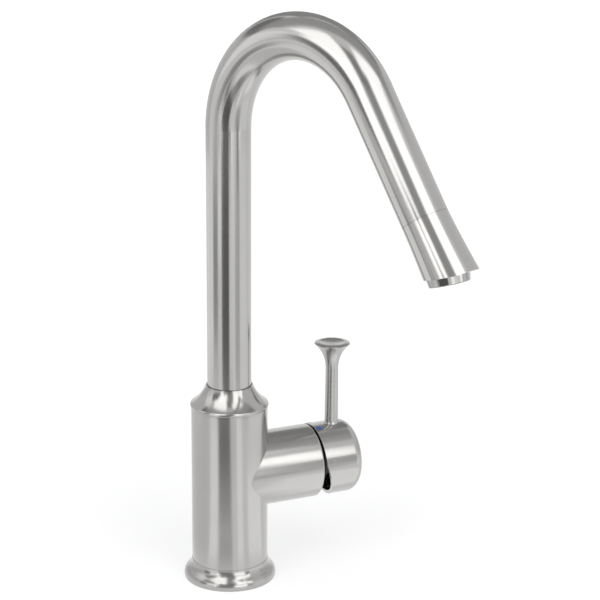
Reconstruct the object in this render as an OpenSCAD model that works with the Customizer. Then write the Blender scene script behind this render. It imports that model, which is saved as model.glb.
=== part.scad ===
// Single-lever kitchen faucet: a swivelling arched spout with a pull-down spray
// head, and a tilting side handle on a ceramic-disc cartridge. Millimetres.
// The origin is the centre of the seat on the deck. +Z is up, and the valve
// branch with its handle points along +X.

/* [Base ring] */
// Largest diameter of the base ring
base_d = 63.4; // [60:0.2:72]
// Height of the base ring
base_h = 13.3; // [12:0.1:18]
// Radius of the base ring's round edge
base_bulge_r = 6.3; // [5.5:0.1:7]
// Height of the middle of the round edge above the deck
base_bulge_z = 2; // [1.5:0.1:3]
// Width of the gasket under the base ring
gasket_w = 5; // [3:0.2:6]
// Thickness of the gasket
gasket_t = 2; // [1.5:0.1:3]

/* [Valve body] */
// Diameter of the upright body
body_d = 52.2; // [50:0.2:56]
// Height of the body's top above the deck
body_top = 122.2; // [119:0.2:150]
// Diameter of the foot that stands in the base ring
foot_d = 44; // [42:0.2:46]
// Diameter of the thread for the mounting shank
shank_d = 33; // [30:0.2:34]
// Depth of the thread for the mounting shank
shank_depth = 15; // [12:0.5:20]
// Diameter of the hose's bore through the body
hose_bore_d = 14; // [13:0.2:14.6]
// Diameter of the threaded hole of each supply hose
port_d = 6.8; // [6:0.1:7]
// Length of the thread in each supply hole
port_thread = 12; // [8:0.5:16]
// Distance of the supply holes from the body's axis
port_offset = 11.4; // [11.1:0.1:11.8]
// Diameter of the waterways inside the body
waterway_d = 6.4; // [5:0.1:6.6]

/* [Valve branch] */
// Height of the branch's axis above the deck
branch_z = 74.8; // [70:0.2:76]
// Diameter of the branch and of the handle's cap
branch_d = 51.2; // [50:0.2:54]
// Distance from the body's axis to the branch's mouth
branch_len = 61; // [60:0.5:72]
// Radius of the rounded edge of the branch's mouth
mouth_r = 1.7; // [0.5:0.1:2.2]

/* [Spout collar] */
// Height of the collar above the body
collar_h = 16.8; // [16:0.2:24]
// Radius of the collar's round lip
lip_r = 1.6; // [1.2:0.1:2.2]
// How far the lip stands proud of the body
lip_proud = 0.65; // [0.2:0.05:1.5]
// Width of the collar's rim round the tube
collar_rim = 0.8; // [0.6:0.1:1.4]
// Length of the collar's thread in the body
collar_thread = 12.6; // [8:0.2:14]
// Thickness of the thread's wall on the collar
collar_wall = 3; // [2.4:0.1:3.4]

/* [Spout] */
// Outside diameter of the spout tube
tube_d = 30; // [28:0.2:31]
// Wall thickness of the spout tube
tube_wall = 1.2; // [1:0.1:1.6]
// Height of the start of the bend above the deck
riser_top = 315; // [280:1:360]
// Radius of the bend, on the tube's axis
bend_r = 65.8; // [60:0.2:90]
// Angle through which the tube bends
bend_angle = 146.9; // [140:0.1:155]
// Length of the straight leg below the bend
leg_len = 83; // [78:0.5:120]
// Direction in which the spout points, from +X about +Z
spout_angle = -68.4; // [-120:0.2:120]
// Diameter of the journal that turns in the body
journal_d = 33.8; // [33:0.2:35]
// Length of that journal
journal_len = 16; // [12:0.5:17]
// Thickness of the flange that the collar holds down
flange_t = 3.4; // [2.4:0.2:4]
// Thickness of each slip ring
slip_t = 0.6; // [0.4:0.1:1]
// Length of the spigot's plug inside the tube
plug_len = 22; // [14:1:30]

/* [Hose] */
// Outside diameter of the spray hose
hose_d = 12; // [11:0.2:12.4]
// Bore of the spray hose
hose_bore = 7; // [6:0.2:8]

/* [Spray head] */
// Length of the head's axis from the tube to the slanted end
head_len = 36.5; // [34:0.5:50]
// How much the head's radius grows towards its end
head_flare = 1.75; // [0.5:0.05:3]
// Lean of the head's outer skin towards the front
head_lean = 1.4; // [0:0.1:2]
// Slant of the head's end and of the nozzle's axis
nozzle_tilt = 16; // [8:0.5:18]
// Depth of the nozzle's tilting point behind the slanted end
tilt_depth = 4.7; // [4:0.1:6]
// Diameter of the nozzle ring where it leaves the head
nozzle_d = 27.2; // [25:0.2:27.8]
// Diameter of the nozzle ring at its lower edge
nozzle_end_d = 25.8; // [23:0.2:26.6]
// How far the nozzle ring stands out of the head
nozzle_out = 5.4; // [3.6:0.1:7]
// Number of spray nubs round the aerator
nub_count = 14; // [8:1:18]
// Diameter of the nose that docks in the tube
nose_d = 19; // [18.4:0.2:21]
// Length of the nose above the seam
nose_len = 19.5; // [16:0.5:21]

/* [Handle] */
// Gap between the branch's mouth and the middle of the cap's rim
cap_gap = 1.6; // [1.4:0.1:3]
// Length of the cap from that gap to its end
cap_len = 29.1; // [27:0.1:36]
// Radius of the cap's rounded end edge
cap_end_r = 7; // [4:0.2:10]
// Wall thickness of the cap
cap_wall = 2.4; // [2:0.1:3]
// Height of the bend in the cap's rim above the branch's axis
rim_bend = 4.4; // [0:0.2:8]
// Lean of the upper half of the rim towards the body
rim_upper = 2.7; // [0:0.1:2.9]
// Slant of the lower half of the rim away from the body
rim_lower = 17.8; // [17:0.1:24]
// Distance of the lever from the branch's mouth
lever_offset = 16.5; // [15:0.5:20]
// Height of the lever above the cap
lever_h = 58.8; // [40:0.2:90]
// Diameter of the lever at its foot
lever_foot_d = 10.6; // [10:0.1:11.4]
// Diameter of the lever just above its foot
lever_low_d = 9.5; // [8:0.1:9.8]
// Diameter of the lever where its flare starts
lever_high_d = 8.9; // [7:0.1:9.4]
// Diameter of the lever's round top
lever_top_d = 24.9; // [18:0.1:30]
// Radius of the lever's trumpet flare
flare_r = 23.7; // [18:0.1:28]
// Diameter of the hollow in the lever's top
dish_d = 17.6; // [12:0.1:20]
// Depth of the hollow in the lever's top
dish_depth = 1; // [0.5:0.1:2]
// Diameter of the lever's threaded stud
stud_d = 6; // [5:0.1:7]
// Diameter of the hot mark and of the cold mark
mark_d = 3.8; // [2.4:0.1:4]
// Angle of the cold mark from the top of the cap, towards the front
cold_angle = 14.5; // [9:0.5:30]
// Angle of the hot mark from the top of the cap, towards the back
hot_angle = 22; // [9:0.5:30]

/* [Cartridge] */
// Diameter of the cartridge's housing
cartridge_d = 35; // [33:0.2:36]
// Depth of the cartridge's seat behind the branch's mouth
seat_depth = 39; // [38:0.5:40]
// Thickness of the cartridge's base
cart_base_t = 6; // [5:0.2:6.6]
// Thickness of each ceramic disc
disc_t = 4; // [3.4:0.1:4.2]
// Distance from the stem's pivot to its driving ball
stem_arm = 10; // [9:0.2:10.6]
// Diameter of the stem
stem_d = 8; // [6:0.1:8]
// Diameter of the stem's pivot pin
pin_d = 3; // [2:0.1:3.2]
// Diameter of the stem's driving ball
ball_d = 5.6; // [5:0.1:6]
// Height of the cartridge nut
nut_h = 6.4; // [5:0.2:6.6]
// Diameter of the bonnet that shows in the handle's gap
bonnet_d = 40.4; // [38:0.2:40.8]
// How far the bonnet stands out of the branch's mouth
bonnet_out = 6.4; // [4:0.2:6.8]

/* [Fits] */
// Radial clearance of a part that turns in another
turn_gap = 0.05; // [0.03:0.01:0.08]
// Radial clearance of parts screwed or pressed together
seat_gap = 0.05; // [0.02:0.01:0.1]
// Clearance between loose neighbouring parts
loose_gap = 0.3; // [0.2:0.05:0.4]

/* [Hidden] */

$fn = 96;
arc_steps = 32;
big = 200;

body_r = body_d / 2;
branch_r = branch_d / 2;
tube_r = tube_d / 2;
tube_in = tube_r - tube_wall;
hose_r = hose_d / 2;

// Base: the ring's inner wall, and its concave fillet from the body's foot
// down to the round edge, which it meets tangentially
foot_r = foot_d / 2;
base_in = foot_r + seat_gap;
base_step = 0.25;
base_top_r = body_r + base_step;
bulge_c = base_d / 2 - base_bulge_r;
bulge_run = base_top_r - bulge_c;
bulge_rise = base_h - base_bulge_z;
base_fillet = (bulge_run ^ 2 + bulge_rise ^ 2 - base_bulge_r ^ 2)
    / (2 * (base_bulge_r - bulge_run));
bulge_meet = atan2(bulge_rise, bulge_run + base_fillet);
gasket_ledge = 1.35;
gasket_in = base_in + gasket_ledge;
gasket_r = gasket_in + gasket_w;

// Spout joint, from the body's top down: thread, slip rings, flange, journal
joint_depth = collar_thread + 2 * slip_t + flange_t;
shoulder_z = body_top - joint_depth;
thread_r = 21;
journal_r = journal_d / 2;
journal_floor = shoulder_z - journal_len - 2 * loose_gap;
flange_r = thread_r - 2 * loose_gap;
flange_z = shoulder_z + slip_t;
tube_bottom = flange_z + flange_t;
spigot_bore = hose_r + 2;
sleeve_in = thread_r - seat_gap - collar_wall;
collar_top = body_top + collar_h;
collar_hole = tube_r + loose_gap;
bush_h = collar_thread + collar_h / 2;

// Spout centreline: the leg starts where the bend ends
leg_lean = 180 - bend_angle;
leg_x = bend_r * (1 - cos(bend_angle));
leg_z = riser_top + bend_r * sin(bend_angle);
bend_swell = 0.05;
bend_lap = 1;

// Spray head, measured along the leg from the end of the bend
seam = leg_len + loose_gap / 2;
head_end = leg_len + head_len;
tilt_s = head_end - tilt_depth / cos(nozzle_tilt);
head_wall = 1.7;
head_top_t = 1.6;
head_in = tube_r - head_wall;
core_r = head_in - seat_gap;
core_end = tilt_s - 11.6;
core_neck_end = tilt_s - 5.6;
spud_r = 9;
spud_root = 7;
nozzle_pocket = 4;
core_bore = 4;
ring_in = spud_r + turn_gap;
spud_end = tilt_depth + 1.3;
face_z = spud_end + loose_gap;
nozzle_end = tilt_depth + nozzle_out;
ring_top = -1.5;
ring_body_r = nozzle_d / 2 - loose_gap;
face_r = nozzle_end_d / 2 - 0.95;
face_t = 2.5;
aerator_r = 5.1;
nub_r = 0.8;
nub_out = 0.5;

// Hose connector inside the head's nose
nose_r = nose_d / 2;
nose_top = leg_len - nose_len;
ferrule_r = 1.15 * hose_r;
ferrule_top = nose_top - hose_r;
ferrule_end = nose_top + 0.72 * nose_len;
hose_end = ferrule_end - hose_r;
connector_bore = 0.43 * hose_bore;
nose_bore = ferrule_r + loose_gap;
pivot_r = 0.825 * hose_r;
pivot_end = ferrule_end + 0.3 * head_len;
oring_s = (ferrule_end + pivot_end) / 2;
oring_wire = 0.145 * pivot_r;
valve_len = 10;

// Cartridge stack, measured from the seat along the branch
seat_x = branch_len - seat_depth;
cartridge_r = cartridge_d / 2;
chamber_r = cartridge_r + seat_gap;
disc_gap = 0.02;
carrier_t = 3;
fixed_z = cart_base_t;
moving_z = fixed_z + disc_t + disc_gap;
carrier_z = moving_z + disc_t;
ball_z = carrier_z + carrier_t + 4;
pivot_z = ball_z + stem_arm;
block_z = carrier_z + carrier_t;
block_h = 5.6;
housing_wall = 2.3;
roof_z = ball_z + 3;
roof_t = 2;
shoulder_c = roof_z + roof_t;
rotor_neck = 10.8;
rotor_end = pivot_z + 4;
housing_neck = 13.8;
nut_bore_r = 20.8;
nut_z = shoulder_c;
bonnet_z = nut_z + nut_h + loose_gap;
bonnet_end = seat_depth + bonnet_out;
housing_in = cartridge_r - housing_wall;
moving_r = housing_in - 2.1;
moving_rest = -1.5;
pocket_r = 6;
pocket_rest = -0.5;
seal_r = 4.4;
seal_t = 1.2;

// Ports of cold, hot and mixed water as [up, towards the front]: where the
// seat's waterways end, and where the discs have them. The moving disc's
// pocket covers the mixed port alone, until it slides up over an inlet.
seat_ports = [[4.5, 7.5], [4.5, -7.5], [-6, 0]];
inlet_r = 8.8;
inlet_turn = 38;
disc_ports = [
    inlet_r * [cos(inlet_turn), sin(inlet_turn)],
    inlet_r * [cos(inlet_turn), -sin(inlet_turn)],
    [-3, 0]
];
seat_port_r = 2.6;
disc_port_r = 2.5;

// Handle
cap_in = branch_r - cap_wall;
rim_x = branch_len + cap_gap;
cap_end = rim_x + cap_len;
lever_x = branch_len + lever_offset;
stem_r = stem_d / 2;
stem_end = lever_x + 2.5;
hub_x = branch_len + 9;
hub_r = stem_r + 4;
socket_r = stem_r + seat_gap;
cap_end_t = 3.2;
spot_r = lever_foot_d / 2 + seat_gap;
spot_up = sqrt(branch_r ^ 2 - spot_r ^ 2) - seat_gap;
stud_r = stud_d / 2;
stud_end = stem_r + loose_gap;
foot_fillet = 3;
mark_r = mark_d / 2;
mark_t = 0.5;
mark_x = rim_x + mark_r + loose_gap;
screw_r = 2.5;
screw_len = 7;
plug_r = 3.1;

function arc(c, r, a0, a1, n = arc_steps) =
    [for (i = [0:n]) let (a = a0 + (a1 - a0) * i / n) c + r * [cos(a), sin(a)]];

// Flat ring standing on the XY plane
module ring(ro, ri, h) {
    rotate_extrude() translate([ri, 0]) square([ro - ri, h]);
}

// Ring of round section lying in the XY plane
module oring(centre_r, section_r) {
    rotate_extrude() translate([centre_r, 0]) circle(section_r);
}

// Branch frame: local Z runs out along the branch and local X points up
module on_branch(along = 0) {
    translate([0, 0, branch_z])
        rotate([0, 90, 0]) rotate([0, 0, 180])
            translate([0, 0, along]) children();
}

// Spout frame: local X points the way the spout reaches
module in_spout() {
    rotate([0, 0, spout_angle]) children();
}

// Leg frame: local Z runs down the leg, and local X points to its front
module on_leg(s = 0) {
    in_spout()
        translate([leg_x, 0, leg_z])
            rotate([0, bend_angle, 0]) rotate([0, 0, 180])
                translate([0, 0, s]) children();
}

// Nozzle frame: the leg's frame, tilted back about the nozzle's tilting point
module on_nozzle(s = 0) {
    on_leg(tilt_s) rotate([0, -nozzle_tilt, 0]) translate([0, 0, s]) children();
}

module tube_section(ro, ri) {
    difference() {
        circle(ro);
        circle(ri);
    }
}

// Tube along the riser, the bend and a length of leg. The bend's wall stands a
// hair proud of the straight lengths, which run a little way into it.
module along_spout(ro, ri, z0, leg) {
    in_spout() {
        translate([0, 0, z0])
            linear_extrude(riser_top - z0 + bend_lap) tube_section(ro, ri);
        translate([bend_r, 0, riser_top])
            rotate([90, 0, 0])
                rotate_extrude(angle = bend_angle, start = leg_lean)
                    translate([bend_r, 0])
                        tube_section(ro + bend_swell, ri - bend_swell);
    }
    if (leg > 0) on_leg(-bend_lap) linear_extrude(leg + bend_lap) tube_section(ro, ri);
}

// BASE

module base_ring() {
    meet = [bulge_c, base_bulge_z] + base_bulge_r * [cos(bulge_meet), sin(bulge_meet)];
    fillet_c = [base_top_r + base_fillet, base_h];
    low = -asin(base_bulge_z / base_bulge_r);
    color("gainsboro") difference() {
        rotate_extrude() polygon(concat(
            [[base_in, 0], [base_in, base_h]],
            arc(fillet_c, base_fillet, 180, 180 + bulge_meet),
            arc([bulge_c, base_bulge_z], base_bulge_r, bulge_meet, low)
        ));
        translate([0, 0, -1])
            ring(gasket_r + seat_gap, gasket_in - seat_gap,
                gasket_t + seat_gap + 1);
    }
}

module base_gasket() {
    color("dimgray") ring(gasket_r, gasket_in, gasket_t);
}

// VALVE BODY

module valve_body() {
    color("silver") difference() {
        union() {
            rotate_extrude() polygon([
                [0, 0], [foot_r, 0], [foot_r, base_h],
                [body_r, base_h], [body_r, body_top], [0, body_top]
            ]);
            on_branch() rotate_extrude() polygon(concat(
                [[0, 0]],
                [[branch_r, 0]],
                arc([branch_r - mouth_r, branch_len - mouth_r], mouth_r, 0, 90),
                [[0, branch_len]]
            ));
        }
        translate([0, 0, -1]) cylinder(r = shank_d / 2, h = shank_depth + 1);
        cylinder(r = hose_bore_d / 2, h = body_top);
        translate([0, 0, journal_floor])
            cylinder(r = journal_r + turn_gap, h = body_top);
        translate([0, 0, shoulder_z]) cylinder(r = thread_r, h = body_top);
        on_branch(seat_x) cylinder(r = chamber_r, h = seat_depth + 1);
        on_branch(seat_x + nut_z - 1) cylinder(r = nut_bore_r, h = seat_depth);
        for (p = seat_ports) waterway(p);
    }
}

// One waterway: up from its threaded hole, then along the branch to the seat
module waterway(port) {
    x = sqrt(port_offset ^ 2 - port[1] ^ 2);
    thread_top = shank_depth + port_thread;
    translate([x, -port[1], shank_depth - 1])
        cylinder(r = port_d / 2, h = port_thread + 1);
    translate([x, -port[1], thread_top - 1])
        cylinder(r = waterway_d / 2, h = branch_z + port[0] - thread_top + 1);
    on_branch(x) translate([port[0], port[1], 0])
        cylinder(r = waterway_d / 2, h = seat_x - x + 1);
}

// SPOUT JOINT

module spout_collar() {
    lip_turn = 50;
    lip_c = [body_r + lip_proud - lip_r, body_top + 1.8 * lip_r];
    rim = [collar_hole + collar_rim, collar_top];
    start = lip_c + lip_r * [cos(lip_turn), sin(lip_turn)];
    chord = rim - start;
    sag = 1.4;
    cone_r = (norm(chord) ^ 2 / 4 + sag ^ 2) / (2 * sag);
    cone_c = (start + rim) / 2
        + (cone_r - sag) * [chord[1], -chord[0]] / norm(chord);
    from = atan2(start[1] - cone_c[1], start[0] - cone_c[0]);
    to = atan2(rim[1] - cone_c[1], rim[0] - cone_c[0]);
    color("gainsboro") difference() {
        rotate_extrude() polygon(concat(
            [[collar_hole, body_top - collar_thread]],
            [[thread_r - seat_gap, body_top - collar_thread]],
            [[thread_r - seat_gap, body_top], [body_r + 0.1, body_top]],
            arc(lip_c, lip_r, -lip_turn, lip_turn),
            arc(cone_c, cone_r, from + (from < 0 ? 360 : 0), to + (to < 0 ? 360 : 0)),
            [[collar_hole, collar_top]]
        ));
        translate([0, 0, body_top - collar_thread - 1])
            cylinder(r = sleeve_in, h = bush_h + 1);
    }
}

module spout_bush() {
    translate([0, 0, body_top - collar_thread + loose_gap]) color("dimgray")
        ring(sleeve_in - seat_gap, tube_r + turn_gap, bush_h - loose_gap - seat_gap);
}

module slip_rings() {
    color("white") {
        translate([0, 0, shoulder_z])
            ring(flange_r, journal_r + 2 * loose_gap, slip_t);
        translate([0, 0, tube_bottom])
            ring(flange_r, tube_r + loose_gap, slip_t);
    }
}

oring_r = 1.35;
oring_centre = journal_r + turn_gap - oring_r - 0.04;
groove_in = oring_centre - oring_r - 0.04;
groove_z = [for (f = [0.25, 0.68]) journal_floor + 2 * loose_gap + f * journal_len];

module spout_spigot() {
    journal_z = journal_floor + 2 * loose_gap;
    color("goldenrod") difference() {
        union() {
            translate([0, 0, journal_z])
                ring(journal_r, spigot_bore, flange_z - journal_z);
            translate([0, 0, flange_z]) ring(flange_r, spigot_bore, flange_t);
            translate([0, 0, tube_bottom])
                ring(tube_in - seat_gap, spigot_bore, plug_len);
        }
        for (z = groove_z)
            translate([0, 0, z - oring_r - 0.1])
                ring(journal_r + 1, groove_in, 2 * oring_r + 0.2);
    }
}

module spigot_orings() {
    color("black")
        for (z = groove_z) translate([0, 0, z]) oring(oring_centre, oring_r);
}

// SPOUT

module spout_tube() {
    color("silver") along_spout(tube_r, tube_in, tube_bottom, leg_len);
}

module hose_run() {
    color("darkgray") along_spout(hose_r, hose_bore / 2, shank_depth + loose_gap, 0);
}

module dock_insert() {
    color("dimgray") on_leg(nose_top - 2)
        ring(tube_in - seat_gap, nose_r + 2 * turn_gap, nose_len + 2 - loose_gap);
}

// SPRAY HEAD AND HOSE

module hose_tail() {
    color("darkgray") on_leg(loose_gap)
        ring(hose_r, hose_bore / 2, hose_end - loose_gap);
}

module hose_connector() {
    color("goldenrod") on_leg() difference() {
        rotate_extrude() polygon([
            [hose_bore / 2, hose_end],
            [hose_r + seat_gap, hose_end],
            [hose_r + seat_gap, ferrule_top],
            [ferrule_r, ferrule_top],
            [ferrule_r, ferrule_end],
            [pivot_r, ferrule_end],
            [pivot_r, pivot_end],
            [connector_bore, pivot_end],
            [connector_bore, hose_end + seat_gap]
        ]);
        translate([0, 0, oring_s - 1.1 * oring_wire])
            ring(pivot_r + 1, pivot_r - 2 * oring_wire, 2.2 * oring_wire);
    }
}

module connector_oring() {
    color("black") on_leg(oring_s)
        oring(pivot_r + turn_gap - oring_wire - 0.04, oring_wire);
}

// Outer skin of the head, round an axis that leans towards its front
module head_skin() {
    len = head_len + tilt_depth;
    on_leg(leg_len) rotate([0, head_lean, 0]) rotate_extrude() polygon(concat(
        [[0, -1], [tube_r, -1]],
        [for (i = [0:arc_steps]) let (f = i / arc_steps)
            [tube_r + head_flare * (f * len / head_len) ^ 1.5, f * len]],
        [[0, len]]
    ));
}

module head_shell() {
    color("silver") difference() {
        head_skin();
        on_leg(seam - big) cylinder(r = big, h = big);
        on_leg(seam - 1) cylinder(r = nose_r + turn_gap, h = head_len);
        on_leg(seam + head_top_t)
            cylinder(r = head_in, h = tilt_s - seam - head_top_t);
        on_nozzle(-nozzle_pocket) cylinder(r = nozzle_d / 2 + loose_gap, h = big);
        on_nozzle(tilt_depth) cylinder(r = big, h = big);
    }
}

module head_core() {
    color("dimgray") difference() {
        union() {
            on_leg(nose_top) cylinder(r = nose_r, h = seam + head_top_t - nose_top);
            on_leg(seam + head_top_t)
                cylinder(r = core_r, h = core_end - seam - head_top_t);
            on_leg(core_end - 1) cylinder(r = spud_r, h = core_neck_end - core_end + 1);
            on_nozzle(-spud_root) cylinder(r = spud_r, h = spud_end + spud_root);
        }
        on_leg(nose_top - 1) cylinder(r = nose_bore, h = ferrule_end - nose_top + 1 + loose_gap);
        on_leg(nose_top)
            cylinder(r = pivot_r + turn_gap, h = pivot_end + valve_len + 1 - nose_top);
        on_leg(pivot_end) cylinder(r = core_bore, h = tilt_s - pivot_end);
        on_nozzle(-nozzle_pocket) cylinder(r = core_bore, h = big);
    }
}

module check_valve() {
    inlet = pivot_r / 2;
    hole_r = 0.6;
    color("white") on_leg(pivot_end + loose_gap) difference() {
        cylinder(r = pivot_r, h = valve_len);
        translate([0, 0, -1]) cylinder(r = inlet, h = valve_len - 2);
        for (a = [0:60:300]) rotate([0, 0, a])
            translate([0.8 * inlet, 0, 0]) cylinder(r = hole_r, h = valve_len + 1);
    }
}

module nozzle_ring() {
    edge = 0.8;
    lower = nozzle_end_d / 2;
    color("gainsboro") on_nozzle() rotate_extrude() polygon(concat(
        [[ring_in, ring_top], [ring_body_r, ring_top]],
        [[ring_body_r, tilt_depth - 1], [nozzle_d / 2, tilt_depth - 0.4]],
        [[nozzle_d / 2, tilt_depth + 0.4]],
        arc([lower - edge, nozzle_end - edge], edge, 10, 90, 8),
        [[face_r + seat_gap, nozzle_end], [face_r + seat_gap, face_z]],
        [[ring_in, face_z]]
    ));
}

module spray_face() {
    color("lightgray") on_nozzle(face_z) difference() {
        union() {
            ring(face_r, aerator_r + seat_gap, face_t);
            nubs(nub_r, face_t + nub_out);
        }
        nubs(nub_r / 2.5, big);
    }
}

// Two rings of spray nubs, or of the holes through them
module nubs(r, h) {
    gap = face_r - aerator_r;
    for (row = [[0.28, nub_count - 4], [0.74, nub_count]])
        for (i = [0:row[1] - 1])
            rotate([0, 0, 360 * i / row[1]])
                translate([aerator_r + row[0] * gap, 0, 0]) cylinder(r = r, h = h);
}

module aerator() {
    slot = 0.7;
    pitch = 1.7;
    color("silver") on_nozzle(face_z) difference() {
        cylinder(r = aerator_r, h = face_t + 0.2);
        translate([0, 0, 1]) cylinder(r = aerator_r - 0.8, h = 0.8);
        for (i = [-2:2], j = [-2:2])
            if (norm([i, j]) * pitch < aerator_r - 1.3)
                translate([i * pitch, j * pitch, -1])
                    translate([-slot / 2, -slot / 2, 0]) cube([slot, slot, face_t + 2]);
    }
}

// CARTRIDGE

module at_seat(z = 0) {
    on_branch(seat_x + z) children();
}

module at_ports(ports) {
    for (p = ports) translate([p[0], p[1], 0]) children();
}

module cartridge_base() {
    color("gray") at_seat() difference() {
        cylinder(r = cartridge_r, h = cart_base_t);
        at_ports(seat_ports) translate([0, 0, -1]) {
            cylinder(r = seat_port_r, h = cart_base_t * 0.7 + 1);
            cylinder(r = seal_r + seat_gap, h = seal_t + 1);
        }
        at_ports(disc_ports) translate([0, 0, cart_base_t / 2])
            cylinder(r = disc_port_r, h = cart_base_t);
    }
}

module cartridge_seals() {
    color("black") at_seat() at_ports(seat_ports)
        ring(seal_r, seat_port_r + 0.4, seal_t);
}

module fixed_disc() {
    color("white") at_seat(fixed_z) difference() {
        cylinder(r = housing_in - seat_gap, h = disc_t);
        at_ports(disc_ports) translate([0, 0, -1])
            cylinder(r = disc_port_r, h = disc_t + 2);
    }
}

module moving_disc() {
    color("ghostwhite") at_seat(moving_z) difference() {
        translate([moving_rest, 0, 0]) cylinder(r = moving_r, h = disc_t);
        translate([pocket_rest, 0, -1]) cylinder(r = pocket_r, h = disc_t / 2 + 1);
    }
}

block_w = 6;
block_l = 10;

module disc_carrier() {
    color("gray") at_seat() difference() {
        union() {
            translate([moving_rest, 0, carrier_z]) cylinder(r = moving_r, h = carrier_t);
            translate([-block_l / 2, -block_w, block_z - 1])
                cube([block_l, 2 * block_w, block_h + 1]);
        }
        translate([0, 0, block_z + 0.3]) cylinder(r = ball_d / 2 + 0.1, h = big);
    }
}

module mixer_rotor() {
    flange_z = block_z + 0.1;
    slot_w = block_w + turn_gap;
    slot_up = 9;
    color("dimgray") at_seat() difference() {
        union() {
            translate([0, 0, flange_z])
                cylinder(r = housing_in - 2 * turn_gap,
                    h = roof_z - flange_z - turn_gap);
            translate([0, 0, roof_z - 1]) cylinder(r = rotor_neck, h = rotor_end - roof_z + 1);
        }
        translate([-slot_up - 1, -slot_w, 0])
            cube([2 * slot_up + 2, 2 * slot_w, roof_z - 0.3]);
        translate([-slot_up, -stem_r - 0.1, 0]) cube([2 * slot_up, stem_d + 0.2, big]);
        translate([0, 0, pivot_z]) rotate([90, 0, 0])
            cylinder(r = pin_d / 2, h = big, center = true);
    }
}

module stem_pin() {
    color("silver") at_seat(pivot_z) rotate([90, 0, 0])
        cylinder(r = pin_d / 2, h = 2 * rotor_neck - 1, center = true);
}

module stem() {
    waist_r = 2.2;
    flat = stem_r - 0.05;
    color("goldenrod") at_seat() difference() {
        union() {
            translate([0, 0, ball_z]) sphere(r = ball_d / 2);
            translate([0, 0, ball_z]) cylinder(r = waist_r, h = stem_arm);
            translate([0, 0, pivot_z]) rotate([90, 0, 0])
                cylinder(r = stem_r, h = 2 * flat, center = true);
            translate([0, 0, pivot_z]) cylinder(r = flat, h = stem_end - seat_x - pivot_z);
        }
        translate([0, 0, pivot_z]) rotate([90, 0, 0])
            cylinder(r = pin_d / 2 + turn_gap, h = big, center = true);
    }
}

module cartridge_housing() {
    color("whitesmoke") at_seat() difference() {
        union() {
            translate([0, 0, cart_base_t])
                cylinder(r = cartridge_r, h = shoulder_c - cart_base_t);
            translate([0, 0, shoulder_c - 1])
                cylinder(r = housing_neck, h = pivot_z - shoulder_c + 1);
        }
        cylinder(r = housing_in, h = roof_z);
        cylinder(r = rotor_neck + 2 * turn_gap, h = big);
    }
}

module cartridge_nut() {
    hex = 2 * housing_neck + 3.4;
    color("goldenrod") at_seat(nut_z) difference() {
        cylinder(r = nut_bore_r - seat_gap, h = nut_h);
        translate([0, 0, -1]) cylinder(r = housing_neck + 2 * seat_gap, h = nut_h + 2);
        translate([0, 0, nut_h / 2]) cylinder(d = hex / cos(30), h = nut_h, $fn = 6);
    }
}

// The bonnet ends in a dome round the stem's pivot, which clears the cap as the
// handle tilts
module bonnet() {
    bonnet_r = bonnet_d / 2;
    wall = bonnet_d / 20;
    mouth = 14.2;
    thread_end = seat_depth - 0.5;
    c = [0, pivot_z];
    dome_r = norm([bonnet_r, seat_depth - pivot_z]);
    low = asin((seat_depth - pivot_z) / dome_r);
    high = asin((bonnet_end - pivot_z) / dome_r);
    inner_low = acos((bonnet_r - wall) / (dome_r - wall));
    inner_high = acos(mouth / (dome_r - wall));
    color("silver") at_seat() rotate_extrude() polygon(concat(
        [[bonnet_r - wall, bonnet_z], [nut_bore_r - seat_gap, bonnet_z]],
        [[nut_bore_r - seat_gap, thread_end], [bonnet_r, thread_end]],
        arc(c, dome_r, low, high),
        [[mouth, bonnet_end]],
        arc(c, dome_r - wall, inner_high, inner_low)
    ));
}

// HANDLE

// Everything on the body's side of the cap's bent rim
module before_rim() {
    far = branch_r + 2;
    on_branch() rotate([90, 0, 0]) linear_extrude(big, center = true) polygon([
        [far, rim_x - (far - rim_bend) * tan(rim_upper)],
        [rim_bend, rim_x],
        [-far, rim_x + (far + rim_bend) * tan(rim_lower)],
        [-far, 0], [far, 0]
    ]);
}

// A round spot on the cap, turned from its top towards the front
module cap_spot(along, angle, r, depth, proud) {
    on_branch(along) rotate([0, 0, angle]) intersection() {
        rotate([0, 90, 0]) cylinder(r = r, h = big);
        translate([0, 0, -2 * r]) ring(branch_r + proud, branch_r - depth, 4 * r);
    }
}

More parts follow.
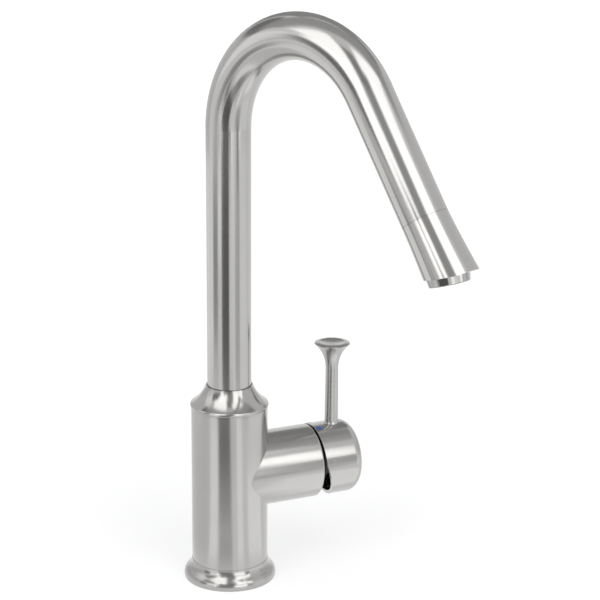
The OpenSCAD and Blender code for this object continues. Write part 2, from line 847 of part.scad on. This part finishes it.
module handle_cap() {
    inner_r = cap_end_r - cap_wall;
    inner_end = cap_end - cap_end_t;
    color("silver") difference() {
        union() {
            difference() {
                on_branch() rotate_extrude() polygon(concat(
                    [[0, branch_len - 1], [branch_r, branch_len - 1]],
                    arc([branch_r - cap_end_r, cap_end - cap_end_r], cap_end_r, 0, 90),
                    [[0, cap_end]]
                ));
                on_branch() rotate_extrude() polygon(concat(
                    [[0, 0], [cap_in, 0]],
                    arc([cap_in - inner_r, inner_end - inner_r], inner_r, 0, 90),
                    [[0, inner_end]]
                ));
            }
            on_branch(hub_x) cylinder(r = hub_r, h = cap_end - hub_x - 1);
            on_branch(lever_x) rotate([0, 90, 0]) cylinder(r = stud_r + 2.6, h = cap_in + 1);
            on_branch(lever_x) rotate([0, -90, 0])
                cylinder(r = screw_r + 2, h = stem_r + screw_len);
        }
        before_rim();
        on_branch(hub_x - 1) cylinder(r = socket_r, h = stem_end - hub_x + 1 + seat_gap);
        on_branch(lever_x) rotate([0, 90, 0]) cylinder(r = stud_r + seat_gap, h = big);
        translate([0, 0, spot_up]) on_branch(lever_x) rotate([0, 90, 0])
            cylinder(r = spot_r, h = big);
        on_branch(lever_x) rotate([0, -90, 0]) cylinder(r = screw_r, h = cap_in);
        on_branch(lever_x) rotate([0, -90, 0]) cylinder(r = plug_r - 0.4, h = big);
        cap_spot(lever_x, 180, plug_r + seat_gap, 1, 1);
        cap_spot(mark_x, cold_angle, mark_r + seat_gap, mark_t, 1);
        cap_spot(mark_x, -hot_angle, mark_r + seat_gap, mark_t, 1);
    }
}

module lever() {
    top = branch_r + lever_h;
    foot_r = lever_foot_d / 2;
    low_r = lever_low_d / 2;
    high_r = lever_high_d / 2;
    top_r = lever_top_d / 2;
    lip = 0.25;
    crown = 0.6;
    edge = top - crown;
    crown_w = top_r - lip - dish_d / 2;
    crown_r = (crown_w ^ 2 + crown ^ 2) / (2 * crown);
    sweep = acos(1 - (top_r - lip - high_r) / flare_r);
    flare_z = edge - 3 * lip - flare_r * sin(sweep);
    foot_sweep = acos(1 - (foot_r - low_r) / foot_fillet);
    foot_z = spot_up + 0.5 + foot_fillet * sin(foot_sweep);
    dish_r = ((dish_d / 2) ^ 2 + dish_depth ^ 2) / (2 * dish_depth);
    dish_half = asin(dish_d / 2 / dish_r);
    color("silver") translate([lever_x, 0, branch_z]) rotate_extrude() polygon(concat(
        [[0, stud_end], [stud_r, stud_end], [stud_r, spot_up], [foot_r, spot_up]],
        arc([low_r + foot_fillet, foot_z], foot_fillet, 180 + foot_sweep, 180, 6),
        arc([high_r + flare_r, flare_z], flare_r, 180, 180 - sweep),
        [[top_r, edge - 2 * lip], [top_r, edge - lip]],
        arc([dish_d / 2, top - crown_r], crown_r, acos(crown_w / crown_r), 90, 10),
        arc([0, top - dish_depth + dish_r], dish_r, dish_half - 90, -90, 10)
    ));
}

module set_screw() {
    color("dimgray") on_branch(lever_x) rotate([0, -90, 0])
        translate([0, 0, stem_r]) difference() {
            cylinder(r = screw_r, h = screw_len - 1);
            translate([0, 0, screw_len - 3.5]) cylinder(d = 2.9, h = 3, $fn = 6);
        }
}

module screw_plug() {
    color("silver") cap_spot(lever_x, 180, plug_r, 1, 0);
}

module cold_mark() {
    color("royalblue") cap_spot(mark_x, cold_angle, mark_r, mark_t, 0.1);
}

module hot_mark() {
    color("firebrick") cap_spot(mark_x, -hot_angle, mark_r, mark_t, 0.1);
}

valve_body();
base_ring();
base_gasket();
spout_collar();
spout_bush();
slip_rings();
cartridge_base();
cartridge_seals();
fixed_disc();
cartridge_housing();
cartridge_nut();
bonnet();
spout_tube();
spout_spigot();
spigot_orings();
dock_insert();
hose_run();
hose_tail();
hose_connector();
connector_oring();
head_shell();
head_core();
check_valve();
nozzle_ring();
spray_face();
aerator();
mixer_rotor();
stem_pin();
moving_disc();
disc_carrier();
stem();
handle_cap();
lever();
set_screw();
screw_plug();
cold_mark();
hot_mark();
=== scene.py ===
import math
from functools import cached_property
import bpy
from mathutils import Matrix, Vector

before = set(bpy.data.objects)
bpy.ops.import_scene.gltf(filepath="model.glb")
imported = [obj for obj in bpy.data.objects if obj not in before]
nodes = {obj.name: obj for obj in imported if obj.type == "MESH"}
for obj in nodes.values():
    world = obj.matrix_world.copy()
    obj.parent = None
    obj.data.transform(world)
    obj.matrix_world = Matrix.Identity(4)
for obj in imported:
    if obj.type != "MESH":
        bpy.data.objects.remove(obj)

scene = bpy.context.scene
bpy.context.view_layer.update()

# Axes and radii that the brushing follows, in metres, as in part.scad
UP = Vector((0, 0, 1))
ALONG_BRANCH = Vector((1, 0, 0))
SPOUT_TURN = math.radians(-68.4)
SPOUT = Vector((math.cos(SPOUT_TURN), math.sin(SPOUT_TURN), 0))
BODY_R = 0.0261
BODY_MARGIN = 0.0004
BRANCH_Z = 0.0748
LEVER_X = 0.0775
RISER_TOP = 0.315
BEND_R = 0.0658
BEND = math.radians(146.9)
LEAN = math.pi - BEND
NOZZLE_TILT = math.radians(16)
HOSE_D = 0.012
BEND_C = SPOUT * BEND_R + UP * RISER_TOP
LEG_START = (SPOUT * (BEND_R * (1 - math.cos(BEND)))
             + UP * (RISER_TOP + BEND_R * math.sin(BEND)))
LEG = SPOUT * math.sin(LEAN) - UP * math.cos(LEAN)
NOZZLE = SPOUT * math.sin(LEAN - NOZZLE_TILT) - UP * math.cos(LEAN - NOZZLE_TILT)

# Noise lies mostly between these two values
NOISE_LOW, NOISE_HIGH = 0.3, 0.7

# Brushed metal: noise cells in a metre, depth of the lines in metres, and spread of colour and roughness
FINE_LINES = 9000
BROAD_LINES = 900
CLOUDS = 38.0
LINE_DEPTH = 0.0000012
WEAR = 0.03
CLOUD_SHADE = 0.94
METAL_UNEVEN = 0.12
SATIN = (0.47, 0.465, 0.455)
POLISHED = (0.45, 0.445, 0.435)
BRASS = (0.72, 0.52, 0.24)
BLACK_OXIDE = (0.10, 0.10, 0.10)

# Moulded parts
PITS = 900.0
PIT_DEPTH = 0.00002
MOULD_CLOUDS = 60.0
MOULD_SHADE = 0.9
MOULD_UNEVEN = 0.15

# Hose sleeve: strands each way round, pitch in diameters, depth in metres, and the shade between strands
STRANDS = 12
PITCH = 2.2
WEAVE_DEPTH = 0.00012
WEAVE_SHADE = 0.35

# Camera, fitted to the outlines in the photo
CAMERA_AT = (-0.4647, -1.0862, 0.5356)
LOOKS_ALONG = (0.4134, 0.8681, -0.2746)
ROLL = math.radians(0.42)
SENSOR = 36
LENS = 110.16
FAR_CLIP = 30
TO_CAMERA = math.atan2(CAMERA_AT[1], CAMERA_AT[0])

# Light tent round the object, in metres and degrees
CENTRE = Vector((0.02, -0.05, 0.2))
LAMP_DISTANCE = 1.2
DOME_R = 0.5
ARCH_R = 0.49
ARCH_FRONT = -8
WALL_R = 1.7
TABLE_DROP = 0.002
SOFT_EDGE = 2.0
WIDEST_CELL = 8.0

# World and floor. The floor glows less near the foot, so that a faint shadow shows there
FILL_COLOUR = (0.75, 0.76, 0.78, 1.0)
FILL = 0.6
WHITE = (1.0, 1.0, 1.0, 1.0)
FLOOR_HALF = 4.0
FLOOR_GREY = (0.45, 0.45, 0.45, 1.0)
FLOOR_NEAR, FLOOR_FAR = 0.08, 0.6
GLOW_NEAR, GLOW_FAR = 0.67, 0.86


class Graph:
    """Short names for the shader nodes that a material or the world is wired from."""

    def __init__(self, owner, output="ShaderNodeOutputMaterial"):
        owner.use_nodes = True
        self.owner = owner
        self.tree = owner.node_tree
        self.tree.nodes.clear()
        self.out = self.node(output)

    @cached_property
    def position(self):
        """The shaded point in the object's own coordinates."""
        return self.node("ShaderNodeTexCoord").outputs["Object"]

    def node(self, kind, **settings):
        n = self.tree.nodes.new(kind)
        for key, value in settings.items():
            setattr(n, key, value)
        return n

    def put(self, socket, value):
        """Link a socket to a node's output, or give it a plain value."""
        if isinstance(value, bpy.types.NodeSocket):
            self.tree.links.new(value, socket)
        else:
            socket.default_value = value

    def fill(self, n, **inputs):
        """Fill a node's inputs by their names. Returns its first output."""
        for key, value in inputs.items():
            self.put(n.inputs[key], value)
        return n.outputs[0]

    def chain(self, kind, *values, **settings):
        """A new node with its inputs filled in their order. Returns its first output."""
        n = self.node(kind, **settings)
        for socket, value in zip(n.inputs, values):
            self.put(socket, value)
        return n.outputs[0]

    def math(self, operation, *values):
        return self.chain("ShaderNodeMath", *values, operation=operation)

    def vector(self, operation, a, b=None, scale=None):
        n = self.node("ShaderNodeVectorMath", operation=operation)
        self.put(n.inputs[0], a)
        if b is not None:
            self.put(n.inputs[1], b)
        if scale is not None:
            self.put(n.inputs["Scale"], scale)
        return n.outputs["Value" if operation in ("DOT_PRODUCT", "LENGTH") else "Vector"]

    def combine(self, x, y, z):
        return self.chain("ShaderNodeCombineXYZ", x, y, z)

    def remap(self, value, low, high, to_low, to_high):
        return self.chain("ShaderNodeMapRange", value, low, high, to_low, to_high)

    def spread(self, noise, low, high):
        """Noise spread over a range."""
        return self.remap(noise, NOISE_LOW, NOISE_HIGH, low, high)

    def noise(self, vector, scale, detail=2.0, rough=0.5):
        return self.fill(self.node("ShaderNodeTexNoise"),
                         Vector=vector, Scale=scale, Detail=detail, Roughness=rough)

    def mix(self, factor, a, b):
        n = self.node("ShaderNodeMix", data_type="RGBA")
        self.fill(n, Factor=factor, A=a, B=b)
        return n.outputs["Result"]

    def mix_vector(self, factor, a, b):
        """As mix, for vectors: they are the fifth and sixth inputs, and the second output."""
        n = self.node("ShaderNodeMix", data_type="VECTOR")
        for key, value in (("Factor", factor), (4, a), (5, b)):
            self.put(n.inputs[key], value)
        return n.outputs[1]

    def bump(self, height, distance, strength):
        return self.fill(self.node("ShaderNodeBump"), Height=height, Distance=distance, Strength=strength)

    def surface(self, shader):
        self.put(self.out.inputs["Surface"], shader)

    def principled(self, **inputs):
        """The surface's shader. An input of two words is given with an underscore between them."""
        named = {key.replace("_", " "): value for key, value in inputs.items()}
        self.surface(self.fill(self.node("ShaderNodeBsdfPrincipled"), **named))


def tone(colour, factor=1.0):
    return tuple(min(1.0, c * factor) for c in colour) + (1.0,)


def in_world(g, vector):
    """A direction of the object in world terms, so that it turns with the piece."""
    return g.chain("ShaderNodeVectorTransform", vector,
                   vector_type="VECTOR", convert_from="OBJECT", convert_to="WORLD")


def across_lines(g, origin, axis):
    """The direction across brush lines that run round an axis, also where a face lies square to it."""
    rel = g.vector("SUBTRACT", g.position, tuple(origin))
    round_it = in_world(g, g.vector("CROSS_PRODUCT", tuple(axis), rel))
    return g.vector("CROSS_PRODUCT", g.node("ShaderNodeNewGeometry").outputs["Normal"], round_it)


def straight(g, origin, axis):
    """(distance along a straight axis, direction across the brush lines) of the shaded point."""
    rel = g.vector("SUBTRACT", g.position, tuple(origin))
    return g.vector("DOT_PRODUCT", rel, tuple(axis)), across_lines(g, origin, axis)


def spout_path(g):
    """(distance along the spout's bent axis, direction of the axis there, which is across the lines)."""
    rel = g.vector("SUBTRACT", g.position, tuple(BEND_C))
    middle = -SPOUT * math.cos(BEND / 2) + UP * math.sin(BEND / 2)
    square = SPOUT * math.sin(BEND / 2) + UP * math.cos(BEND / 2)
    angle = g.math("ARCTAN2", g.vector("DOT_PRODUCT", rel, tuple(square)),
                   g.vector("DOT_PRODUCT", rel, tuple(middle)))
    on_bend = g.math("MAXIMUM", g.math("MINIMUM", angle, BEND / 2), -BEND / 2)
    turned = g.math("ADD", on_bend, BEND / 2)
    on_riser = g.math("LESS_THAN", angle, -BEND / 2)
    on_leg = g.math("GREATER_THAN", angle, BEND / 2)
    below = g.math("SUBTRACT", g.vector("DOT_PRODUCT", g.position, tuple(UP)), RISER_TOP)
    down = g.vector("DOT_PRODUCT", g.vector("SUBTRACT", g.position, tuple(LEG_START)), tuple(LEG))
    s = g.math("ADD", g.math("MULTIPLY", turned, BEND_R), g.math("MULTIPLY", on_riser, below))
    s = g.math("ADD", s, g.math("MULTIPLY", on_leg, down))
    out = g.vector("SCALE", tuple(SPOUT), scale=g.math("SINE", turned))
    rise = g.vector("SCALE", tuple(UP), scale=g.math("COSINE", turned))
    return s, in_world(g, g.vector("ADD", out, rise))


def upright(g):
    return straight(g, (0, 0, 0), UP)


def branchwise(g):
    return straight(g, (0, 0, BRANCH_Z), ALONG_BRANCH)


def leverwise(g):
    return straight(g, (LEVER_X, 0, 0), UP)


def legwise(g):
    return straight(g, LEG_START, LEG)


def nozzlewise(g):
    return straight(g, LEG_START, NOZZLE)


def bodywise(g):
    """Round the upright body, and round the branch where that has left the body."""
    (s_body, across_body), (s_branch, across_branch) = upright(g), branchwise(g)
    flat = g.vector("MULTIPLY", g.position, (1.0, 1.0, 0.0))
    on_branch = g.math("GREATER_THAN", g.vector("LENGTH", flat), BODY_R + BODY_MARGIN)
    on_body = g.math("SUBTRACT", 1.0, on_branch)
    s = g.math("ADD", g.math("MULTIPLY", s_branch, on_branch), g.math("MULTIPLY", s_body, on_body))
    return s, g.mix_vector(on_branch, across_body, across_branch)


def metal(name, colour, rough, path, blur, grain=1.0):
    """Steel or brass, brushed round its axis: fine lines, which blur reflections across them."""
    g = Graph(bpy.data.materials.new(name))
    s, across = path(g)
    lines = g.noise(g.combine(g.math("MULTIPLY", s, FINE_LINES), 0.0, 0.0), 1.0, 3.0, 0.7)
    broad = g.noise(g.combine(g.math("MULTIPLY", s, BROAD_LINES), 0.3, 0.1), 1.0)
    cloud = g.noise(g.position, CLOUDS, 3.0)
    tint = g.mix(g.spread(lines, 0.0, 1.0), tone(colour, 1 - WEAR), tone(colour, 1 + WEAR))
    tint = g.mix(g.remap(cloud, 0.35, NOISE_HIGH, 0.0, 0.5), tint, tone(colour, CLOUD_SHADE))
    uneven = g.math("ADD", g.math("MULTIPLY", broad, 0.4), g.math("MULTIPLY", cloud, 0.6))
    g.principled(Base_Color=tint, Metallic=1.0, Anisotropic=blur, Tangent=across,
                 Roughness=g.spread(uneven, rough * (1 - METAL_UNEVEN), rough * (1 + METAL_UNEVEN)),
                 Normal=g.bump(lines, LINE_DEPTH * grain, 0.6))
    return g.owner


def moulded(name, colour, rough, pits_per_metre=PITS, depth=PIT_DEPTH):
    """Plastic, rubber, ceramic or enamel: fine pits and a cloudy tint."""
    g = Graph(bpy.data.materials.new(name))
    pits = g.noise(g.position, pits_per_metre, 3.0)
    cloud = g.noise(g.position, MOULD_CLOUDS)
    tint = g.mix(g.spread(cloud, 0.0, 1.0), tone(colour, MOULD_SHADE), tone(colour))
    g.principled(Base_Color=tint, Normal=g.bump(pits, depth, 0.5),
                 Roughness=g.spread(pits, rough * (1 - MOULD_UNEVEN), rough * (1 + MOULD_UNEVEN)))
    return g.owner


def braid(name, colour):
    """Woven sleeve: two sets of strands that cross round the spout's axis."""
    g = Graph(bpy.data.materials.new(name))
    s = spout_path(g)[0]
    side = UP.cross(SPOUT)
    rel = g.vector("SUBTRACT", g.position, tuple(LEG_START))
    around = g.math("ARCTAN2", g.vector("DOT_PRODUCT", g.position, tuple(side)),
                    g.vector("DOT_PRODUCT", rel, tuple(LEG.cross(side))))
    turns = g.math("MULTIPLY", around, float(STRANDS))
    climb = g.math("MULTIPLY", s, 2 * math.pi * STRANDS / (math.pi * HOSE_D * PITCH))
    weave = g.math("MAXIMUM", g.math("SINE", g.math("ADD", turns, climb)),
                   g.math("SINE", g.math("SUBTRACT", turns, climb)))
    tint = g.mix(g.remap(weave, -0.4, 1.0, 0.0, 1.0), tone(colour, WEAVE_SHADE), tone(colour))
    g.principled(Base_Color=tint, Roughness=0.55, Normal=g.bump(weave, WEAVE_DEPTH, 0.8))
    return g.owner


# Looks of the pieces. Metal: colour, roughness, brushing, blur across the lines and depth of the grain.
# Moulded: colour, roughness, pits in a metre and their depth
looks = {
    "valve_body": metal("body_steel", SATIN, 0.20, bodywise, 0.5, 0.4),
    "base_ring": metal("ring_steel", POLISHED, 0.20, upright, 0.85, 0.5),
    "spout_collar": metal("collar_steel", POLISHED, 0.17, upright, 0.75, 0.5),
    "spout_tube": metal("tube_steel", SATIN, 0.17, spout_path, 0.5),
    "head_shell": metal("head_steel", SATIN, 0.14, legwise, 0.4, 0.6),
    "nozzle_ring": metal("nozzle_steel", POLISHED, 0.09, nozzlewise, 0.2, 0.3),
    "handle_cap": metal("cap_steel", SATIN, 0.20, branchwise, 0.5),
    "screw_plug": metal("plug_steel", SATIN, 0.25, leverwise, 0.2),
    "lever": metal("lever_steel", SATIN, 0.25, leverwise, 0.4, 0.6),
    "bonnet": metal("bonnet_steel", SATIN, 0.30, branchwise, 0.3),
    "stem_pin": metal("pin_steel", POLISHED, 0.15, branchwise, 0.2),
    "set_screw": metal("screw_steel", BLACK_OXIDE, 0.35, leverwise, 0.0),
    "spout_spigot": metal("spigot_brass", BRASS, 0.28, upright, 0.3),
    "cartridge_nut": metal("nut_brass", BRASS, 0.3, branchwise, 0.3),
    "stem": metal("stem_brass", BRASS, 0.25, branchwise, 0.3),
    "hose_connector": metal("connector_brass", BRASS, 0.28, legwise, 0.3),
    "spray_face": moulded("nub_silicone", (0.16, 0.165, 0.17), 0.5, 1200.0),
    "cold_mark": moulded("cold_enamel", (0.03, 0.13, 0.50), 0.22, 400.0, 0.000004),
    "hot_mark": moulded("hot_enamel", (0.30, 0.03, 0.03), 0.22, 400.0, 0.000004),
}
for shared, names in (
    (moulded("seal_rubber", (0.02, 0.02, 0.02), 0.7, 1600.0),
     ("base_gasket", "cartridge_seals", "spigot_orings", "connector_oring")),
    (moulded("black_acetal", (0.03, 0.03, 0.032), 0.42),
     ("spout_bush", "dock_insert", "head_core", "mixer_rotor")),
    (moulded("disc_ceramic", (0.86, 0.86, 0.83), 0.18, 2500.0, 0.000002),
     ("fixed_disc", "moving_disc")),
    (moulded("white_acetal", (0.80, 0.80, 0.77), 0.35),
     ("slip_rings", "cartridge_housing", "check_valve", "aerator")),
    (moulded("glass_filled_cartridge_base", (0.30, 0.31, 0.32), 0.5), ("cartridge_base",)),
    (moulded("glass_filled_disc_carrier", (0.30, 0.31, 0.32), 0.5), ("disc_carrier",)),
    (braid("hose_braid", (0.34, 0.35, 0.37)), ("hose_run", "hose_tail")),
):
    looks.update(dict.fromkeys(names, shared))
for node_name, look in looks.items():
    node_mesh = nodes[node_name].data
    node_mesh.materials.clear()
    node_mesh.materials.append(look)


def add_object(name, data):
    made = bpy.data.objects.new(name, data)
    scene.collection.objects.link(made)
    return made


def place_camera():
    data = bpy.data.cameras.new("camera")
    data.sensor_fit = "HORIZONTAL"
    data.sensor_width = SENSOR
    data.lens = LENS
    data.clip_end = FAR_CLIP
    forward = Vector(LOOKS_ALONG).normalized()
    right = forward.cross(UP).normalized()
    above = right.cross(forward)
    side = right * math.cos(ROLL) + above * math.sin(ROLL)
    top = above * math.cos(ROLL) - right * math.sin(ROLL)
    turn = Matrix((side, top, -forward)).transposed()
    camera = add_object("camera", data)
    camera.matrix_world = Matrix.Translation(CAMERA_AT) @ turn.to_4x4()
    scene.camera = camera


def light_world():
    """White to the camera and in reflections, and a soft grey fill for all else."""
    scene.world = bpy.data.worlds.new("studio")
    g = Graph(scene.world, "ShaderNodeOutputWorld")
    ray = g.node("ShaderNodeLightPath").outputs
    mirrored = g.math("MAXIMUM", ray["Is Camera Ray"], ray["Is Glossy Ray"])
    seen = g.math("MAXIMUM", mirrored, ray["Is Transmission Ray"])
    fill = g.chain("ShaderNodeBackground", FILL_COLOUR, FILL)
    plain = g.chain("ShaderNodeBackground", WHITE, 1.0)
    g.surface(g.chain("ShaderNodeMixShader", seen, fill, plain))


def towards(angle, elevation, distance=1.0):
    """A direction at an angle to the camera's side of the object, positive to the picture's right."""
    a = TO_CAMERA + math.radians(angle)
    e = math.radians(elevation)
    return distance * Vector((math.cos(e) * math.cos(a), math.cos(e) * math.sin(a), math.sin(e)))


def softbox(name, angle, elevation, size, radiance):
    """A soft lamp that lights the object; its reflection comes from the panels."""
    data = bpy.data.lights.new(name, "AREA")
    data.shape = "RECTANGLE"
    data.size, data.size_y = size
    data.energy = radiance * math.pi * size[0] * size[1]
    lamp = add_object(name, data)
    at = CENTRE + towards(angle, elevation, LAMP_DISTANCE)
    facing = (CENTRE - at).to_track_quat("-Z", "Y").to_matrix()
    lamp.matrix_world = Matrix.Translation(at) @ facing.to_4x4()
    lamp.visible_camera = False
    lamp.visible_glossy = False


def on_dome(angle, elevation):
    return CENTRE + towards(angle, elevation, DOME_R)


def on_arch(across, along):
    """A point of the tent's top, counted from the camera's side over the top to the far side."""
    middle = ARCH_R * math.cos(math.radians(across))
    return (CENTRE + middle * math.cos(math.radians(along)) * towards(ARCH_FRONT, 0)
            + middle * math.sin(math.radians(along)) * UP
            + ARCH_R * math.sin(math.radians(across)) * towards(ARCH_FRONT + 90, 0))


def on_table(angle, reach):
    return towards(angle, 0, reach) - TABLE_DROP * UP


def standing(radius):
    """Points of an upright wall at a radius, by angle and height."""
    return lambda angle, height: towards(angle, 0, radius) + height * UP


def steps(low, high, soft, widest):
    """Grid lines from low to high, with one a soft edge's width in from each end."""
    inner = high - low - 2 * soft
    count = max(1, math.ceil(inner / widest))
    return [low] + [low + soft + inner * i / count for i in range(count + 1)] + [high]


def panel(name, place, angles, spans, radiance, soft_angle, soft_span, widest):
    """A white or grey panel, soft at its edges, which shows in reflections alone."""
    across = steps(*angles, soft_angle, WIDEST_CELL)
    along = steps(*spans, soft_span, widest)
    columns, rows = len(across), len(along)
    points = [place(a, b) for b in along for a in across]
    fades = [float(0 < i < columns - 1 and 0 < j < rows - 1)
             for j in range(rows) for i in range(columns)]
    corners = [j * columns + i for j in range(rows - 1) for i in range(columns - 1)]
    faces = [(c, c + 1, c + columns + 1, c + columns) for c in corners]
    mesh = bpy.data.meshes.new(name)
    mesh.from_pydata(points, [], faces)
    mesh.attributes.new("fade", "FLOAT", "POINT").data.foreach_set("value", fades)
    piece = add_object(name, mesh)
    g = Graph(bpy.data.materials.new(name + "_paint"))
    fade = g.node("ShaderNodeAttribute", attribute_name="fade").outputs["Fac"]
    clear = g.chain("ShaderNodeBsdfTransparent")
    paint = g.fill(g.node("ShaderNodeEmission"), Strength=radiance)
    g.surface(g.chain("ShaderNodeMixShader", fade, clear, paint))
    mesh.materials.append(g.owner)
    piece.visible_camera = False
    piece.visible_diffuse = False
    piece.visible_transmission = False
    piece.visible_shadow = False


def hang(group, place, rows, soft_angle=SOFT_EDGE, soft_span=SOFT_EDGE, widest=WIDEST_CELL):
    """Panels of one group, from rows of name, angles, spans and radiance."""
    for name, angles, spans, radiance in rows:
        panel(group + name, place, angles, spans, radiance, soft_angle, soft_span, widest)


def lay_floor():
    """White, with light of its own that leaves a faint shadow by the foot."""
    mesh = bpy.data.meshes.new("floor")
    corners = [(x * FLOOR_HALF, y * FLOOR_HALF, 0) for x, y in ((-1, -1), (1, -1), (1, 1), (-1, 1))]
    mesh.from_pydata(corners, [], [(0, 1, 2, 3)])
    floor = add_object("floor", mesh)
    g = Graph(bpy.data.materials.new("floor_white"))
    lit = g.fill(g.node("ShaderNodeBsdfDiffuse"), Color=FLOOR_GREY)
    away = g.vector("LENGTH", g.position)
    strength = g.remap(away, FLOOR_NEAR, FLOOR_FAR, GLOW_NEAR, GLOW_FAR)
    glow = g.fill(g.node("ShaderNodeEmission"), Color=WHITE, Strength=strength)
    g.surface(g.chain("ShaderNodeAddShader", lit, glow))
    mesh.materials.append(g.owner)
    floor.visible_glossy = False


place_camera()
light_world()
softbox("softbox_left", angle=-41, elevation=35, size=(0.7, 1.2), radiance=2.0)
softbox("softbox_right", angle=31, elevation=35, size=(0.6, 1.2), radiance=2.0)

# Dome round the object: tall white strips beside the camera, a dark gap between them, side lights, dark
# flags at their edges, and grey cloth behind
hang("tent_", on_dome, (
    ("left_foot", (-49, -34), (0, 15), 1.1),
    ("left_low", (-49, -15), (14, 37), 2.3),
    ("left_mid", (-80, -21), (33, 48), 2.3),
    ("left_high", (-86, -24), (46, 59), 2.2),
    ("gap_foot", (-34, 10), (0, 25), 0.28),
    ("gap_mid", (-14, 13), (23, 46), 0.5),
    ("gap_high", (-19, 10), (44, 56), 0.36),
    ("right_foot", (15, 53), (0, 12), 1.2),
    ("right_low", (15, 53), (11, 62), 2.3),
    ("right_side", (51, 64), (2, 34), 2.4),
    ("flag_foot", (-80, -48), (-1, 14), 0.85),
    ("flag_low", (-86, -57), (12, 31), 0.22),
    ("flag_edge", (-58, -49), (12, 25), 0.22),
    ("left_side", (-60, -47), (27, 38), 2.3),
    ("light_left", (-113, -84), (12, 38), 1.3),
    ("light_foot", (-113, -78), (0, 13), 1.05),
    ("side_left", (-170, -111), (0, 38), 0.8),
    ("side_right", (62, 150), (2, 46), 0.85),
    ("cloth_left", (-152, -109), (33, 58), 0.26),
    ("cloth_back", (74, 206), (44, 66), 0.4),
    ("cloth_far", (148, 206), (14, 46), 0.34),
))

# Arch just inside the dome: the strips' upper ends, and cloth over the top
hang("arch_", on_arch, (
    ("left", (-44, -8), (57, 83), 2.1),
    ("gap", (-8, 6), (53, 73), 0.36),
    ("right", (6, 38), (59, 82), 2.1),
    ("end", (-12, 10), (71, 89), 0.95),
    ("cloth", (-46, 46), (87, 112), 0.52),
))

# Wall and table further out, which the base ring and the upright pieces show
hang("wall_", standing(WALL_R), (
    ("left", (-58, -28), (0.0, 0.62), 2.3),
    ("gap", (-26, 9), (0.0, 0.62), 0.26),
    ("right", (12, 43), (0.0, 0.62), 2.3),
    ("flag_left", (-80, -60), (0.0, 0.62), 0.25),
    ("flag_right", (44, 58), (0.0, 0.62), 0.4),
    ("side_left", (-150, -82), (0.0, 0.9), 0.7),
    ("side_right", (92, 150), (0.0, 0.9), 0.72),
), soft_angle=1.5, soft_span=0.03, widest=0.3)
hang("table_", on_table, (
    ("near_side", (-150, -60), (0.05, 0.44), 0.88),
    ("near_left", (-58, -33), (0.05, 0.44), 1.25),
    ("near_gap", (-32, 3), (0.24, 0.44), 0.5),
    ("near_gap_mid", (-32, 6), (0.12, 0.28), 0.5),
    ("near_gap_end", (-30, 8), (0.05, 0.15), 0.62),
    ("near_middle", (3, 20), (0.24, 0.44), 0.8),
    ("near_right", (19, 38), (0.05, 0.44), 1.25),
    ("near_edge", (50, 100), (0.05, 0.27), 1.3),
    ("far_light", (-140, -86), (0.40, 1.7), 1.2),
    ("far_flag", (-87, -57), (0.55, 1.35), 0.42),
    ("far_left", (-58, -36), (0.90, 1.7), 1.3),
    ("mid_left", (-58, -37), (0.40, 0.94), 0.25),
    ("far_gap", (-38, 2), (0.40, 1.7), 0.16),
    ("far_middle", (1, 31), (0.40, 1.7), 1.05),
    ("far_dim", (30, 56), (0.40, 1.7), 0.66),
    ("far_right", (58, 104), (0.30, 1.7), 1.12),
), soft_angle=3.0, soft_span=0.04, widest=0.4)

# Low sills on the table: the upright pieces show these, and the bend shows the table behind them
for sill, radius, angles, heights, radiance in (
    ("gap", 0.24, (-32, 3), (-0.01, 0.05), 0.26),
    ("left_near", 0.40, (-59, -36), (-0.01, 0.09), 0.95),
    ("left_far", 0.72, (-59, -36), (-0.01, 0.055), 0.95),
):
    hang("sill_", standing(radius), ((sill, angles, heights, radiance),),
         soft_angle=1.5, soft_span=0.008, widest=0.3)
lay_floor()

scene.view_settings.view_transform = "Standard"
